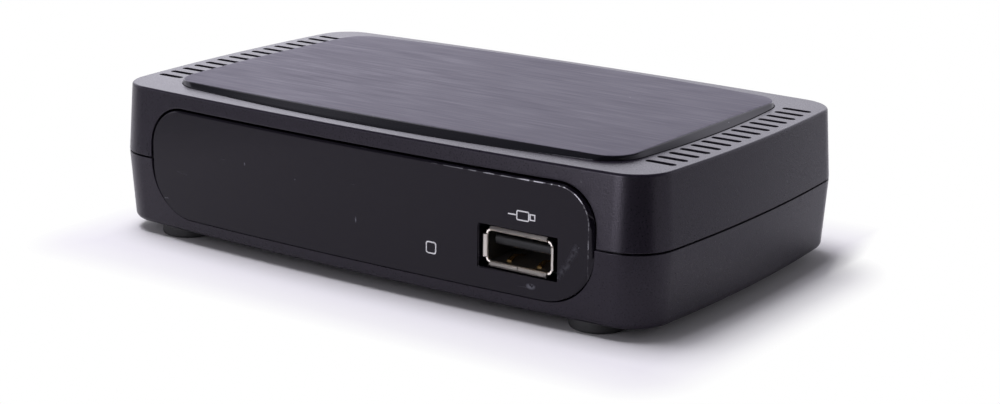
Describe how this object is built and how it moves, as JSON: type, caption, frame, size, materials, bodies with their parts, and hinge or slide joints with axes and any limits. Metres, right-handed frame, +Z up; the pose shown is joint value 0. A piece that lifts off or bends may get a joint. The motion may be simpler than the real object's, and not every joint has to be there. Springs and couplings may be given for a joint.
{
  "type": "streaming box",
  "caption": "Small set-top streaming box: split moulded case with a raised brushed top plate, vents beside it, a dark front window with a serial port, and a socket row behind.",
  "frame": {"origin": "on the ground, under the middle of the box", "axes": "+X to the right along the front, as seen from in front; +Y to the back; +Z up"},
  "size_m": [0.12, 0.0708, 0.0291],
  "materials": {
    "moulded_black": "finely textured, satin",
    "window_gloss": "smooth, glossy",
    "brushed_plate": "hairline-brushed face, gloss sloping edge",
    "foot_rubber": "soft, dull",
    "screw_steel": "bright",
    "board_laminate": "solder mask, satin",
    "chip_moulding": "dull",
    "thermal_pad": "soft, dull",
    "sink_aluminium": "anodised, satin",
    "plated_sheet": "bright plated sheet",
    "capacitor_sleeve": "printed sleeve, satin",
    "ferrite": "dull",
    "dark_lens": "clear dark, glossy",
    "socket_nylon": "satin",
    "gold_plating": "bright plated"
  },
  "bodies": {
    "box": {"capacitor_1": "capacitor_sleeve", "capacitor_2": "capacitor_sleeve", "capacitor_3": "capacitor_sleeve", "crystal": "screw_steel", "flash_chip": "chip_moulding", "front_left_board_screw": "screw_steel", "front_left_case_screw": "screw_steel", "front_left_foot": "foot_rubber", "front_panel": "window_gloss", "front_port_contact_1": "gold_plating", "front_port_contact_2": "gold_plating", "front_port_contact_3": "gold_plating", "front_port_contact_4": "gold_plating", "front_port_shell": "plated_sheet", "front_port_tongue": "socket_nylon", "front_right_board_screw": "screw_steel", "front_right_case_screw": "screw_steel", "front_right_foot": "foot_rubber", "heat_sink": "sink_aluminium", "infrared_receiver": "dark_lens", "lower_housing": "moulded_black", "main_board": "board_laminate", "memory_chip_1": "chip_moulding", "memory_chip_2": "chip_moulding", "network_jack_insert": "socket_nylon", "network_jack_shell": "plated_sheet", "network_transformer": "chip_moulding", "optical_port_body": "socket_nylon", "power_inductor": "ferrite", "power_jack_body": "socket_nylon", "power_jack_pin": "screw_steel", "power_regulator": "chip_moulding", "processor": "chip_moulding", "rear_left_board_screw": "screw_steel", "rear_left_case_screw": "screw_steel", "rear_left_foot": "foot_rubber", "rear_panel": "moulded_black", "rear_right_board_screw": "screw_steel", "rear_right_case_screw": "screw_steel", "rear_right_foot": "foot_rubber", "reset_switch": "socket_nylon", "shutter_pin": "screw_steel", "sound_jack": "socket_nylon", "status_lamp": "dark_lens", "thermal_pad": "thermal_pad", "top_plate": "brushed_plate", "upper_housing": "moulded_black", "video_port_shell": "plated_sheet", "video_port_tongue": "socket_nylon", "wireless_module": "plated_sheet"},
    "optical_shutter": {"optical_shutter": "socket_nylon"},
    "reset_button": {"reset_button": "socket_nylon"}
  },
  "joints": [
    {"name": "optical_shutter_hinge", "type": "hinge", "parent": "box", "child": "optical_shutter", "pos_m": [0.00372, 0.0317, 0.0171], "axis": [-1, 0, 0], "range_deg": [0, 85], "stiffness_Nm_per_rad": 0.0002, "springref_deg": -17.19},
    {"name": "reset_button_press", "type": "slide", "parent": "box", "child": "reset_button", "axis": [0, -1, 0], "range_m": [0, 0.0004], "stiffness_N_per_m": 300, "springref_m": -0.0005}
  ]
}
